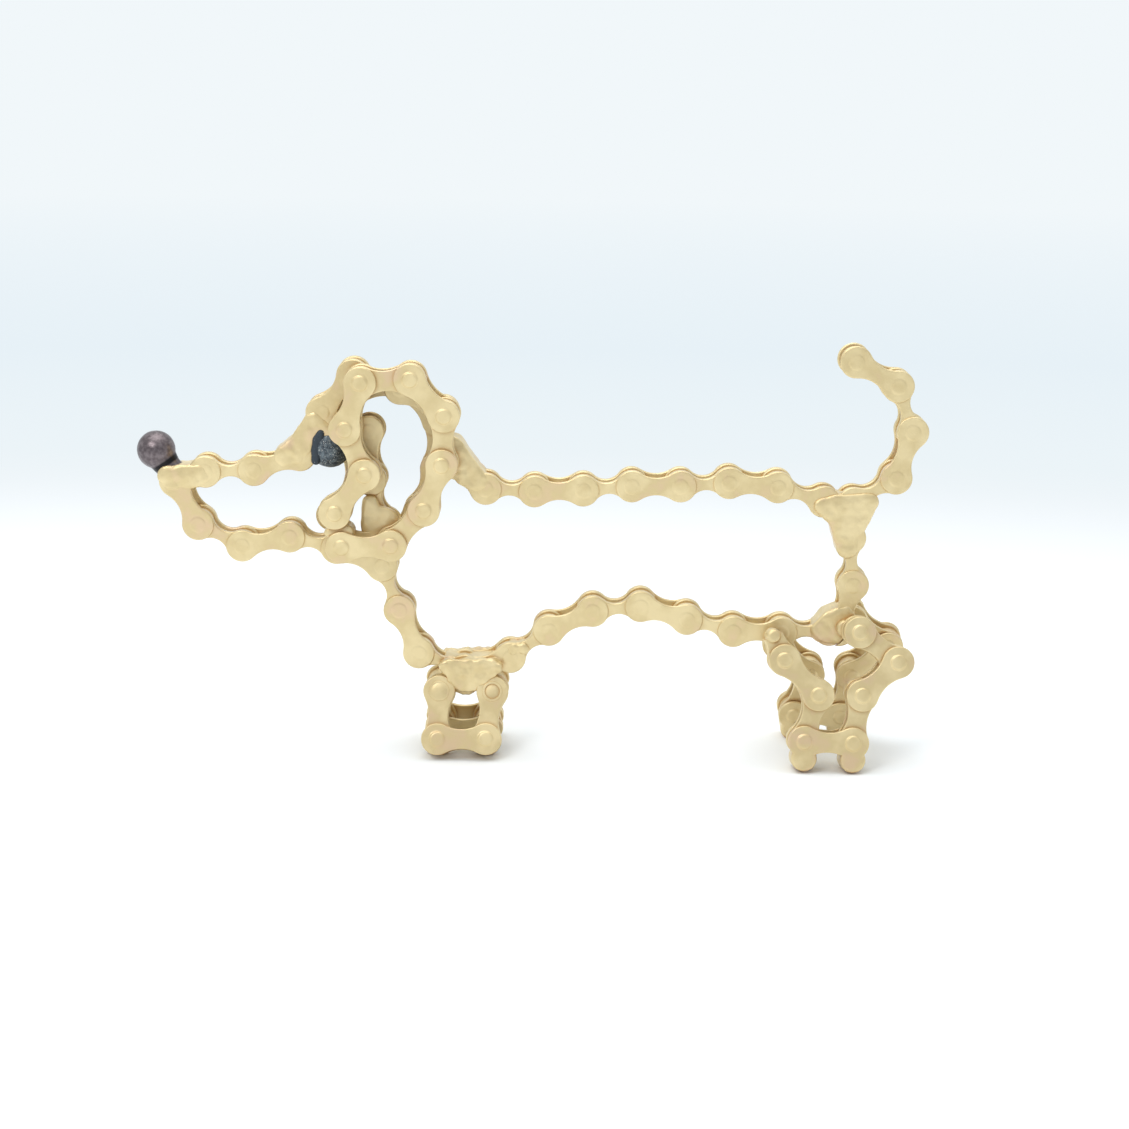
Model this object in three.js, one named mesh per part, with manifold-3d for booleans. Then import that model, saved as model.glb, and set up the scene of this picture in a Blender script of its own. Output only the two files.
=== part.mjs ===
// A little dachshund welded up from lengths of roller chain, with a steel ball for a nose and another for an
// eye. Millimetres, +Z up. The figure stands at Z = 0, looks towards -X, and its left side faces -Y.
import * as THREE from "three";
import { mergeVertices } from "three/addons/utils/BufferGeometryUtils.js";
import Module from "manifold-3d";

const wasm = await Module();
wasm.setup();

// Roller chain: half-inch pitch, eighth-inch width
const pitch = 12.7;
const plateEndRadius = 4.2;
const plateThickness = 1;
const innerWidth = 3.3; // between a link's two inner plates
const sideClearance = 0.2; // between an inner plate and the outer plate beside it
const pinRadius = 1.9;
const pinEndRise = 0.4; // how far a limb's pins stand proud of its outer plates
const pinClearance = 0.25; // round a pin in its bush
const bushRadius = 2.7;
const rollerRadius = 3.87;
const rollerClearance = 0.15; // round a bush in its roller
const rollerSideClearance = 0.25;
const setRollerRadius = 3.4; // a roller that paint has set on its bush
const pressDepth = 0.1; // how far a set roller or a pin runs into the plate beside it

// Half the height of a plate at its waist: the body's chain is the slimmer kind
const bodyOuterWaist = 2.3;
const bodyInnerWaist = 1.45;
const limbWaist = 2.6;

// Balls, pads and the weld lump under the chest
const noseRadius = 5;
const noseStandOff = 0.3; // from the jaw's end to the ball
const neckRadius = 2.3; // of the weld that reaches from the ball in between the jaw's plates
const eyeRadius = 5.5;
const padRadius = 3.4;
const padDrop = 4.4; // from a foot's pin down to the middle of its pad
const lumpWidth = 11.6;
const lumpHeight = 8.8;

// How the pieces stand to each other
const touchGap = 0.3; // between pieces that touch
const overrun = 1; // how far a cutter runs past what it cuts
const frontLegGap = 1.5; // between the tops of the two front legs
const frontLean = 19; // degrees that a leg leans, its foot outwards
const hindLean = 11;

// Facets: the steps of a plate's round end, and the sides of a round part
const plateEndSteps = 4;
const rollerSides = 8;
const roundSides = 6; // pins, bushes, bores and rollers that are set
const setPinSides = 3; // a set pin shows only in the narrow gap between two plates
const noseFacets = [14, 8]; // round and from pole to pole
const eyeFacets = [12, 8];
const lumpFacets = [8, 6];
const shoulderAngle = 50; // degrees from a plate's middle line to where its round end stops

// Each run of chain: its first pin, as shares of the pitch along X and up, then the heading of each link in
// degrees. Outer and inner links take turns along a run. The crown goes on from the back's first pin, and the
// snout from the crown's last. A run that is welded on after an earlier one starts past the last pin of that
// one, and pastShares are then shares of a plate's end radius.
const runs = {
  back: { startShares: [-2.48, 6.14], headings: [-33, -2, 2, 6, 1, 5, -4, -17], firstOuter: true },
  crown: { before: "back", headings: [93, 150, 165, -129], firstOuter: false },
  snout: { after: "crown", pastShares: [0, 0], headings: [-117, -161, -177, -159], firstOuter: false },
  tail: { after: "back", pastShares: [1.84, -0.04], headings: [32, 73, 110, 151], firstOuter: false },
  rump: { after: "back", pastShares: [1.93, 0.75], headings: [-94, -84, -104], firstOuter: true },
  underline: {
    startShares: [5.53, 2.72],
    headings: [-177, 180, 166, 165, -173, -155, -143, -164, 160, 114, 111, 159, 167, -168, 154, 117],
    firstOuter: false,
  },
  innerHead: { startShares: [-4.05, 6.74], headings: [-87, -74, -90], firstOuter: true },
  ear: {
    startShares: [-4.54, 4.46],
    headings: [3, 48, 69, 88, 133, -175, -108, -67, -127],
    firstOuter: true,
  },
  frontLeg: { startShares: [-2.56, 1.37], headings: [-91, 1, 83], firstOuter: false },
  hindLeg: { startShares: [4.11, 3.18], headings: [-64, -45, -106, -1, 80, 44, 143, 160], firstOuter: false },
};
const rightEarShares = [-0.19, -0.31]; // of the pitch: the right ear hangs a little further forward and lower
const stubShare = 0.46; // of a link, cut off where a hind leg meets the belly
const eyeShares = [-4.85, 6.38]; // the eye's middle, as shares of the pitch
const lumpLengthShare = 0.47; // of the way from one upright of a front leg to the other
const lumpDropShare = 0.55; // of a plate's end radius, from the chest's lowest pin down to the lump's middle

const innerFace = innerWidth / 2;
const innerBack = innerFace + plateThickness;
const outerFace = innerBack + sideClearance;
const chainHalf = outerFace + plateThickness;
const boreRadius = pinRadius + pinClearance;

const gold = new THREE.MeshStandardMaterial({ color: 0xd3bf92, roughness: 0.42, metalness: 0.75 });
const darkSteel = new THREE.MeshStandardMaterial({ color: 0x5e4f55, roughness: 0.2, metalness: 0.9 });
const blueSteel = new THREE.MeshStandardMaterial({ color: 0x4c5663, roughness: 0.3, metalness: 0.8 });

const radians = THREE.MathUtils.degToRad;

// A closed geometry as a solid that can be joined and cut
function solid(geometry) {
  geometry.deleteAttribute("normal");
  geometry.deleteAttribute("uv");
  const { attributes, index } = mergeVertices(geometry);
  return new wasm.Manifold(
    new wasm.Mesh({
      numProp: 3,
      vertProperties: attributes.position.array,
      triVerts: new Uint32Array(index.array),
    }),
  );
}

function join(solids) {
  return solids.reduce((whole, piece) => whole.add(piece));
}

// The largest of the pieces that a cut leaves: the offcut beyond the cutter is dropped
function withoutOffcuts(cut) {
  return cut.decompose().reduce((best, piece) => (piece.volume() > best.volume() ? piece : best));
}

function mesh(name, piece, material) {
  const { vertProperties, triVerts } = piece.getMesh();
  const geometry = new THREE.BufferGeometry();
  geometry.setAttribute("position", new THREE.BufferAttribute(vertProperties, 3));
  geometry.setIndex(new THREE.BufferAttribute(triVerts, 1));
  geometry.computeVertexNormals();
  const made = new THREE.Mesh(geometry, material);
  made.name = name;
  return made;
}

// The pins of each run, as points in the XZ plane
const pins = {};

function firstPin(run) {
  if (run.before) return pins[run.before][0].clone();
  if (!run.after) return new THREE.Vector2(...run.startShares).multiplyScalar(pitch);
  return new THREE.Vector2(...run.pastShares).multiplyScalar(plateEndRadius).add(pins[run.after].at(-1));
}

for (const [name, run] of Object.entries(runs)) {
  pins[name] = [firstPin(run)];
  for (const heading of run.headings) {
    const step = new THREE.Vector2(pitch, 0).rotateAround(new THREE.Vector2(), radians(heading));
    pins[name].push(step.add(pins[name].at(-1)));
  }
}

function isOuter(run, link) {
  return (link % 2 === 0) === run.firstOuter;
}

// A plate's outline, from a pin at the origin to one at +X: two round ends and a waist
function plateOutline(radius, waist) {
  const sweep = Math.PI - radians(shoulderAngle);
  const half = [];
  for (let i = 0; i <= plateEndSteps; i++) {
    const turn = sweep * ((2 * i) / plateEndSteps - 1);
    half.push(new THREE.Vector2(pitch + radius * Math.cos(turn), radius * Math.sin(turn)));
  }
  half.push(new THREE.Vector2(pitch / 2, waist));
  const otherHalf = half.map((point) => new THREE.Vector2(pitch - point.x, -point.y));
  return new THREE.Shape([...half, ...otherHalf]);
}

// A flat piece of an XZ outline between two places along Y, turned to a heading and set at a pin
function slab(outline, from, to, pin, heading) {
  const depth = to - from;
  const geometry = new THREE.ExtrudeGeometry(outline, { depth, bevelEnabled: false });
  geometry.rotateX(Math.PI / 2).translate(0, to, 0).rotateY(-radians(heading));
  return solid(geometry.translate(pin.x, 0, pin.y));
}

// A round bar along Y, with flats
function bar(radius, from, to, pin, sides = roundSides) {
  const geometry = new THREE.CylinderGeometry(radius, radius, to - from, sides);
  return solid(geometry.translate(pin.x, (from + to) / 2, pin.y));
}

// The two plates of a link
function platePair(outline, from, to, pin, heading) {
  return [slab(outline, from, to, pin, heading), slab(outline, -to, -from, pin, heading)];
}

const bodyPlates = {
  outer: plateOutline(plateEndRadius, bodyOuterWaist),
  inner: plateOutline(plateEndRadius, bodyInnerWaist),
};
const limbPlates = {
  outer: plateOutline(plateEndRadius, limbWaist),
  inner: plateOutline(plateEndRadius, limbWaist),
};

// The room that one link takes, grown by the gap: it cuts whatever is welded against that link
function room(runName, link) {
  const run = runs[runName];
  const outer = isOuter(run, link);
  const waist = (outer ? bodyOuterWaist : bodyInnerWaist) + touchGap;
  const outline = plateOutline(plateEndRadius + touchGap, waist);
  const half = chainHalf + touchGap;
  return slab(outline, -half, half, pins[runName][link], run.headings[link]);
}

// What is cut off a link that ends short: the stretch from one pin, for a share of the pitch
function stub(runName, link, fromFarPin) {
  const reach = plateEndRadius + overrun;
  const outline = new THREE.Shape([
    new THREE.Vector2(-reach, -reach),
    new THREE.Vector2(pitch * stubShare, -reach),
    new THREE.Vector2(pitch * stubShare, reach),
    new THREE.Vector2(-reach, reach),
  ]);
  const half = chainHalf + overrun;
  const heading = runs[runName].headings[link];
  const near = pins[runName][link];
  const far = pins[runName][link + 1];
  if (fromFarPin) return slab(outline, -half, half, far, heading + 180);
  return slab(outline, -half, half, near, heading);
}

// A length of set chain, from one link of a run to another, in one piece. Where it meets the next length at a
// pin, the end link of the one holds the pin and the end link of the other is bored for it.
function chainLength(runName, first, last, plates, ends) {
  const run = runs[runName];
  const along = pins[runName];
  const pieces = [];
  for (let link = first; link <= last; link++) {
    const heading = run.headings[link];
    pieces.push(
      ...(isOuter(run, link)
        ? platePair(plates.outer, outerFace, chainHalf, along[link], heading)
        : platePair(plates.inner, innerFace, innerBack, along[link], heading)),
    );
  }
  const bores = [];
  for (let pin = first; pin <= last + 1; pin++) {
    const end = pin === first ? ends[0] : pin === last + 1 ? ends[1] : "joined";
    const beside = pin === first ? first : last;
    const inEndLink = pin === first || pin === last + 1;
    const half = (inEndLink && !isOuter(run, beside) ? innerFace : outerFace) + pressDepth;
    const rollerHalf = innerFace + pressDepth;
    if (end !== "pin") pieces.push(bar(setRollerRadius, -rollerHalf, rollerHalf, along[pin]));
    const sides = end === "pin" ? roundSides : setPinSides;
    if (half > rollerHalf) pieces.push(bar(pinRadius, -half, half, along[pin], sides));
    if (end === "bored") bores.push(bar(boreRadius, -chainHalf, chainHalf, along[pin]));
  }
  return bores.reduce((whole, bore) => whole.subtract(bore), join(pieces));
}

const figure = new THREE.Group();

// The lengths of the body: run, first and last link, its two ends, and the links that it is welded against
const bodyLengths = {
  snout_chain: ["snout", 0, 3, ["bored", "cut"], [["underline", 15], ["underline", 14]]],
  crown_chain: ["crown", 0, 3, ["bored", "pin"], []],
  back_front_chain: ["back", 0, 3, ["pin", "bored"], []],
  back_rear_chain: ["back", 4, 7, ["pin", "cut"], [["tail", 0]]],
  tail_chain: ["tail", 0, 3, ["free", "free"], []],
  rump_chain: ["rump", 0, 2, ["cut", "cut"], [["tail", 0], ["underline", 0]]],
  belly_rear_chain: ["underline", 0, 2, ["free", "bored"], []],
  belly_front_chain: ["underline", 3, 5, ["pin", "pin"], []],
  chest_chain: ["underline", 6, 8, ["bored", "bored"], []],
  throat_chain: ["underline", 9, 11, ["pin", "pin"], []],
  jaw_chain: ["underline", 12, 15, ["bored", "free"], []],
  inner_head_chain: [
    "innerHead",
    0,
    2,
    ["free", "cut"],
    [["underline", 10], ["underline", 11], ["underline", 9]],
  ],
};
for (const [name, [runName, first, last, ends, weldedTo]] of Object.entries(bodyLengths)) {
  let piece = chainLength(runName, first, last, bodyPlates, ends);
  for (const [otherRun, link] of weldedTo) piece = withoutOffcuts(piece.subtract(room(otherRun, link)));
  figure.add(mesh(name, piece, gold));
}

// An ear: a loop of loose chain, with each link and each roller by itself
function outerLink(first) {
  const along = pins.ear;
  const pieces = platePair(limbPlates.outer, outerFace, chainHalf, along[first], runs.ear.headings[first]);
  const half = chainHalf + pinEndRise;
  for (const pin of [along[first], along[first + 1]]) pieces.push(bar(pinRadius, -half, half, pin));
  return join(pieces);
}

function innerLink(first) {
  const along = pins.ear;
  const pieces = platePair(limbPlates.inner, innerFace, innerBack, along[first], runs.ear.headings[first]);
  const ends = [along[first], along[first + 1]];
  for (const pin of ends) pieces.push(bar(bushRadius, -innerFace - pressDepth, innerFace + pressDepth, pin));
  const bores = ends.map((pin) => bar(boreRadius, -chainHalf, chainHalf, pin));
  return bores.reduce((whole, bore) => whole.subtract(bore), join(pieces));
}

function roller(pin) {
  const half = innerFace - rollerSideClearance;
  const freeBore = (bushRadius + rollerClearance) / Math.cos(Math.PI / roundSides);
  return bar(rollerRadius, -half, half, pin, rollerSides).subtract(bar(freeBore, -chainHalf, chainHalf, pin));
}

const earLinks = runs.ear.headings.map((_, link) => {
  return isOuter(runs.ear, link) ? outerLink(link) : innerLink(link);
});
const earRollers = pins.ear.slice(1, -1).map(roller);

const earHalf = chainHalf + pinEndRise;
const earOffset = chainHalf + touchGap + earHalf;

function earShift(side) {
  if (side < 0) return new THREE.Vector2();
  return new THREE.Vector2(...rightEarShares).multiplyScalar(pitch);
}

function ear(side) {
  const group = new THREE.Group();
  const prefix = side < 0 ? "left_ear" : "right_ear";
  const count = { outer: 0, inner: 0 };
  earLinks.forEach((piece, link) => {
    const kind = isOuter(runs.ear, link) ? "outer" : "inner";
    count[kind] += 1;
    group.add(mesh(`${prefix}_${kind}_link_${count[kind]}`, piece, gold));
  });
  earRollers.forEach((piece, i) => group.add(mesh(`${prefix}_roller_${i + 1}`, piece, gold)));
  const shift = earShift(side);
  group.position.set(shift.x, side * earOffset, shift.y);
  return group;
}

figure.add(ear(-1), ear(1));

// The room that one link of an ear takes, grown by the gap
function earRoom(side, link) {
  const outline = plateOutline(plateEndRadius + touchGap, limbWaist + touchGap);
  const half = earHalf + touchGap;
  const pin = pins.ear[link].clone().add(earShift(side));
  const middle = side * earOffset;
  return slab(outline, middle - half, middle + half, pin, runs.ear.headings[link]);
}

// A leg stands in a leaning plane, foot outwards. offset is from the middle of the figure to the leg's middle
// plane, at its top pin.
function legFrame(side, topPin, lean, offset) {
  const tilt = radians(lean);
  const group = new THREE.Group();
  group.rotation.x = side * tilt;
  group.position.y = side * (offset + topPin.y * Math.sin(tilt));
  group.updateMatrix();
  return group;
}

// What lies below the floor, in a leg's own frame
function underFloor(group) {
  const size = pitch * runs.underline.headings.length;
  const ground = new THREE.BoxGeometry(size, size, pitch).translate(0, 0, -pitch / 2);
  return solid(ground.applyMatrix4(group.matrix.clone().invert()));
}

// A link's room, carried from the body's frame into a leg's or back
function moved(piece, matrix) {
  return piece.transform(matrix.elements);
}

const frontTilt = radians(frontLean);
const frontOffset = innerBack * Math.cos(frontTilt) + plateEndRadius * Math.sin(frontTilt) + frontLegGap / 2;
const hindTilt = radians(hindLean);
const hindOffset =
  chainHalf + touchGap + chainHalf * Math.cos(hindTilt) + plateEndRadius * Math.sin(hindTilt);

function frontLeg(side) {
  const group = legFrame(side, pins.frontLeg.at(-1), frontLean, frontOffset);
  const toLeg = group.matrix.clone().invert();
  let piece = chainLength("frontLeg", 0, 2, limbPlates, ["bored", "bored"]);
  piece = piece.subtract(underFloor(group));
  for (const link of [6, 7, 8]) piece = withoutOffcuts(piece.subtract(moved(room("underline", link), toLeg)));
  group.add(mesh(side < 0 ? "left_front_leg" : "right_front_leg", piece, gold));
  return group;
}

function hindLeg(side) {
  const group = legFrame(side, pins.hindLeg.at(-2), hindLean, hindOffset);
  const prefix = side < 0 ? "left_hind_leg" : "right_hind_leg";
  const along = pins.hindLeg;
  const pads = [along[3], along[4]].map((pin) =>
    bar(padRadius, -chainHalf, chainHalf, pin.clone().sub(new THREE.Vector2(0, padDrop))),
  );
  const bushHalf = innerBack + sideClearance;
  const bushEnd = plateOutline(plateEndRadius + touchGap, limbWaist + touchGap);
  const rearEnd = slab(bushEnd, -bushHalf, bushHalf, along[4], runs.hindLeg.headings[4]);
  const front = join([
    chainLength("hindLeg", 0, 3, limbPlates, ["cut", "pin"]),
    ...pads.map((pad) => pad.subtract(rearEnd)),
  ]);
  const rear = chainLength("hindLeg", 4, 7, limbPlates, ["bored", "cut"]);
  group.add(
    mesh(prefix + "_front", front.subtract(stub("hindLeg", 0, false)).subtract(underFloor(group)), gold),
    mesh(prefix + "_rear", rear.subtract(stub("hindLeg", 7, true)), gold),
  );
  return group;
}

const legs = [frontLeg(-1), frontLeg(1), hindLeg(-1), hindLeg(1)];
figure.add(...legs);

// The nose sits on the tip of the jaw, on a neck of weld that reaches in to the jaw's last roller
const jawTip = pins.underline.at(-1);
const noseTurn = radians(124);
const noseReach = plateEndRadius + noseRadius + noseStandOff;
const neckLength = noseReach - setRollerRadius - touchGap;
const neck = new THREE.CylinderGeometry(neckRadius, neckRadius, neckLength, roundSides);
neck.translate(0, -neckLength / 2, 0).rotateX(Math.PI / 2).rotateY(Math.PI / 2 - noseTurn);
const ball = new THREE.SphereGeometry(noseRadius, ...noseFacets);
const nose = mesh("nose_ball", solid(ball).add(solid(neck)), darkSteel);
nose.position.set(jawTip.x + noseReach * Math.cos(noseTurn), 0, jawTip.y + noseReach * Math.sin(noseTurn));
figure.add(nose);

// The eye sits in the corner of the brow
const eyeAt = new THREE.Vector2(...eyeShares).multiplyScalar(pitch);
let eyeBall = solid(new THREE.SphereGeometry(eyeRadius, ...eyeFacets).translate(eyeAt.x, 0, eyeAt.y));
for (const [runName, link] of [["crown", 3], ["snout", 0], ["snout", 1]]) {
  eyeBall = eyeBall.subtract(room(runName, link));
}
for (const side of [-1, 1]) {
  for (const link of [6, 7, 8]) eyeBall = eyeBall.subtract(earRoom(side, link));
}
figure.add(mesh("eye_ball", withoutOffcuts(eyeBall), blueSteel));

// The weld lump that holds the front legs under the chest
const chestPin = pins.underline[8];
const legSpan = pins.frontLeg.at(-1).x - pins.frontLeg[0].x;
const lumpLength = legSpan * lumpLengthShare;
const lump = new THREE.SphereGeometry(lumpLength / 2, ...lumpFacets);
lump.scale(1, lumpWidth / lumpLength, lumpHeight / lumpLength);
let weld = solid(lump.translate(chestPin.x, 0, chestPin.y - plateEndRadius * lumpDropShare));
for (const link of [7, 8]) weld = weld.subtract(room("underline", link));
for (const leg of legs.slice(0, 2)) {
  for (const link of [0, 2]) {
    const outline = plateOutline(plateEndRadius + touchGap, limbWaist + touchGap);
    const half = innerBack + touchGap;
    const upright = slab(outline, -half, half, pins.frontLeg[link], runs.frontLeg.headings[link]);
    weld = weld.subtract(moved(upright, leg.matrix));
  }
}
figure.add(mesh("chest_weld", withoutOffcuts(weld), gold));

// The figure's middle goes over the origin
const extent = new THREE.Box3().setFromObject(figure, true);
figure.position.set(-(extent.min.x + extent.max.x) / 2, -(extent.min.y + extent.max.y) / 2, -extent.min.z);

const part = new THREE.Group();
part.add(figure);
export default part;
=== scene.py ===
# %% [markdown]
# A little dachshund is welded up from lengths of roller chain, sprayed pale gold, with a steel ball for
# its nose and another for its eye. The solid model already has every link in its place, but with few
# facets and sharp edges. Here each of its pieces is made again with the shape that pressed and painted
# steel really has: plates with a drawn-in waist and rounded edges, pins with domed heads, and lumps of
# weld where one length meets another.

# %% The solid model, which nothing here may move
from math import atan2, cos, pi, radians, sin

import bmesh
import bpy
from mathutils import Matrix, Vector, noise


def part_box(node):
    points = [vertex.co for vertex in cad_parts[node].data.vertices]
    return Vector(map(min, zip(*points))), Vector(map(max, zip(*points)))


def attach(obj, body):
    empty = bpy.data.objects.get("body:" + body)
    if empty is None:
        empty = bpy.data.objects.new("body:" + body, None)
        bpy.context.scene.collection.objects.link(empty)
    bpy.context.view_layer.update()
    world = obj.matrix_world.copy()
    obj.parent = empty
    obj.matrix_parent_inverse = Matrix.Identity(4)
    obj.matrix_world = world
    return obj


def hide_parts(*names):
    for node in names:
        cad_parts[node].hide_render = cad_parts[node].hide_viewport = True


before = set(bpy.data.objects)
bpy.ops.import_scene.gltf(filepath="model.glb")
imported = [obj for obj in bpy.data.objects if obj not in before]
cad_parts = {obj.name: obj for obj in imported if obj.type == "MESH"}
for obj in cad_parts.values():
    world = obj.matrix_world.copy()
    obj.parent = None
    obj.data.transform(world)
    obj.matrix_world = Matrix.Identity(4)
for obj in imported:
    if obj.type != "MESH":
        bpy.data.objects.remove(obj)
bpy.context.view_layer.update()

MM = 0.001

# %% [markdown]
# Roller chain is the same everywhere: the distance from pin to pin is half an inch, and the plates, pins
# and rollers have sizes that go with it. Those few sizes drive every piece below. The figure's chain is
# the kind with an eighth of an inch between its inner plates, and the body's plates are slimmer at the
# waist than those of the ears.

# %% The chain's sizes
PITCH = 12.7 * MM
PLATE_RADIUS = 4.2 * MM
PLATE_THICKNESS = 1.0 * MM
PLATE_EDGE = 0.32 * MM
INNER_WIDTH = 3.3 * MM
SIDE_CLEARANCE = 0.2 * MM
PIN_RADIUS = 1.9 * MM
PIN_CLEARANCE = 0.1 * MM
LIMB_PIN_RISE = 0.42 * MM
BODY_PIN_RISE = 0.09 * MM
PAINT_FLARE = 0.55 * MM
BODY_STEP = 0.4 * MM
BODY_EDGE = 0.42 * MM
BUSH_RADIUS = 2.7 * MM
ROLLER_RADIUS = 3.87 * MM
ROLLER_CLEARANCE = 0.15 * MM
ROLLER_SIDE_CLEARANCE = 0.25 * MM
SET_ROLLER_RADIUS = 3.5 * MM
PRESS_DEPTH = 0.1 * MM
WELD_GAP = 0.1 * MM

BODY_WAISTS = {"outer": 2.3 * MM, "inner": 1.45 * MM}
LIMB_WAISTS = {"outer": 2.6 * MM, "inner": 2.6 * MM}

INNER_FACE = INNER_WIDTH / 2
INNER_BACK = INNER_FACE + PLATE_THICKNESS
OUTER_FACE = INNER_BACK + SIDE_CLEARANCE
CHAIN_HALF = OUTER_FACE + PLATE_THICKNESS
print("width over the outer plates in mm:", round(2 * CHAIN_HALF / MM, 2))

# %% [markdown]
# The figure is drawn with chain: each length is a start and then a heading for each link, like directions
# for a walk. Writing the walk down again keeps the fine pieces on the same pins as the solid model. One
# roller of an ear tells where the walk's own zero lies in the model's frame, and the other pieces' boxes
# confirm it later.

# %% The walk of each length
RUNS = {
    "back": dict(start=(-2.48, 6.14), headings=(-33, -2, 2, 6, 1, 5, -4, -17), first="outer"),
    "crown": dict(before="back", headings=(93, 150, 165, -129), first="inner"),
    "snout": dict(after="crown", past=(0, 0), headings=(-117, -161, -177, -159), first="inner"),
    "tail": dict(after="back", past=(1.84, -0.04), headings=(32, 73, 110, 151), first="inner"),
    "rump": dict(after="back", past=(1.93, 0.75), headings=(-94, -84, -104), first="outer"),
    "underline": dict(
        start=(5.53, 2.72),
        headings=(-177, 180, 166, 165, -173, -155, -143, -164, 160, 114, 111, 159, 167, -168, 154, 117),
        first="inner",
    ),
    "inner_head": dict(start=(-4.05, 6.74), headings=(-87, -74, -90), first="outer"),
    "ear": dict(start=(-4.54, 4.46), headings=(3, 48, 69, 88, 133, -175, -108, -67, -127), first="outer"),
    "front_leg": dict(start=(-2.56, 1.37), headings=(-91, 1, 83), first="inner"),
    "hind_leg": dict(start=(4.11, 3.18), headings=(-64, -45, -106, -1, 80, 44, 143, 160), first="inner"),
}


def middle(node):
    low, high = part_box(node)
    return (low + high) / 2


def walk(start, headings):
    pins = [Vector(start)]
    for heading in headings:
        pins.append(pins[-1] + PITCH * Vector((cos(radians(heading)), sin(radians(heading)))))
    return pins


ear_from_zero = walk(Vector(RUNS["ear"]["start"]) * PITCH, RUNS["ear"]["headings"])
FIGURE_X = middle("left_ear_roller_1").x - ear_from_zero[1].x
print("the walk's zero lies at x in mm:", round(FIGURE_X / MM, 3))

PINS = {}
for name, run in RUNS.items():
    if "after" in run:
        first_pin = PINS[run["after"]][-1] + Vector(run["past"]) * PLATE_RADIUS
    elif "before" in run:
        first_pin = PINS[run["before"]][0].copy()
    elif name in ("front_leg", "hind_leg"):
        first_pin = Vector(run["start"]) * PITCH
    else:
        first_pin = Vector(run["start"]) * PITCH + Vector((FIGURE_X, 0))
    PINS[name] = walk(first_pin, run["headings"])


def kind(run, link):
    other = "inner" if RUNS[run]["first"] == "outer" else "outer"
    return RUNS[run]["first"] if link % 2 == 0 else other


# %% [markdown]
# The photograph was taken from the dog's left side, a little above it, with a longish lens from about 60
# cm. The camera leans a degree, because the photographer's did. Blender's lens is given in millimetres of
# a 36 mm wide sensor, so a focal length counted in pixels of the photograph has to be scaled by the width
# of the picture.

# %% The camera
PICTURE_PIXELS = 1129
FOCAL_PIXELS = 2275
SENSOR = 36
CAMERA_DISTANCE = 600 * MM
CAMERA_ELEVATION = radians(13)
CAMERA_ROLL = radians(1)
AIM_HEIGHT = 50.5 * MM


def add_camera():
    ahead = Vector((0, cos(CAMERA_ELEVATION), -sin(CAMERA_ELEVATION)))
    level = Vector((1, 0, 0))
    upright = level.cross(ahead)
    right = level * cos(CAMERA_ROLL) + upright * sin(CAMERA_ROLL)
    up = upright * cos(CAMERA_ROLL) - level * sin(CAMERA_ROLL)
    camera = bpy.data.objects.new("camera", bpy.data.cameras.new("camera"))
    camera.data.sensor_width = SENSOR
    camera.data.lens = SENSOR * FOCAL_PIXELS / PICTURE_PIXELS
    camera.data.clip_start = 10 * MM
    turn = Matrix((right, up, -ahead)).transposed().to_4x4()
    place = Vector((FIGURE_X, 0, AIM_HEIGHT)) - ahead * CAMERA_DISTANCE
    camera.matrix_world = Matrix.Translation(place) @ turn
    bpy.context.scene.collection.objects.link(camera)
    bpy.context.scene.camera = camera
    print("lens in mm:", round(camera.data.lens, 1))


add_camera()

# %% [markdown]
# The picture is taken in a bright white tent: a white floor that turns faintly blue in the distance, a
# pale sky with no line where the two meet, and hardly any shadow but a soft one under the feet. Metal
# shows what is round it, so what the paint looks like depends on this tent as much as on the paint. The
# side where the photographer stands is a darker room, which is why the faces turned to us are less bright
# than the edges on top.

# %% Nodes for materials: a small helper that sets sockets and links others
def add_node(tree, kind_of_node, links=None, **values):
    node = tree.nodes.new(kind_of_node)
    for key, value in values.items():
        if hasattr(node, key):
            setattr(node, key, value)
        else:
            node.inputs[key.replace("_", " ")].default_value = value
    for key, source in (links or {}).items():
        tree.links.new(source, node.inputs[key])
    return node


def new_material(name):
    material = bpy.data.materials.new(name)
    material.use_nodes = True
    shader = material.node_tree.nodes["Principled BSDF"]
    return material, material.node_tree, shader


def spread(tree, source, low=0.0, high=1.0, to_low=0.0, to_high=1.0, curve="LINEAR"):
    """Values of the source from low to high, spread evenly from to_low to to_high and level beyond them."""
    node = add_node(tree, "ShaderNodeMapRange", {"Value": source}, interpolation_type=curve)
    for socket, value in (("From Min", low), ("From Max", high), ("To Min", to_low), ("To Max", to_high)):
        node.inputs[socket].default_value = value
    return node.outputs["Result"]


def ramp(tree, source, stops):
    node = add_node(tree, "ShaderNodeValToRGB", {"Fac": source})
    while len(node.color_ramp.elements) < len(stops):
        node.color_ramp.elements.new(0.5)
    for element, (place, colour) in zip(node.color_ramp.elements, stops):
        element.position = place
        element.color = (*colour, 1)
    return node.outputs["Color"]


print("helpers for shader nodes:", [helper.__name__ for helper in (add_node, new_material, spread, ramp)])

# %% The tent: sky, floor and lamps
SKY_BRIGHT = (0.880, 0.930, 0.955)
SKY_ROOM = (0.52, 0.545, 0.59)
ROOM_EDGES = (-0.95, -0.1)
FLOOR_WHITE = (0.90, 0.918, 0.93)
FLOOR_SIDE = 24000 * MM
FLOOR_DROP = 0.02 * MM
FADE_MIDDLE = (0, -700 * MM, 0)
FADE_BEFORE = 700 * MM
FADE_START = 120 * MM
FADE_END = 420 * MM
FAR_COLOURS = [
    (160 * MM, (0.965, 0.98, 0.99)),
    (276 * MM, (0.905, 0.939, 0.965)),
    (452 * MM, (0.838, 0.905, 0.939)),
    (805 * MM, (0.800, 0.880, 0.930)),
    (2135 * MM, SKY_BRIGHT),
]


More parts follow.
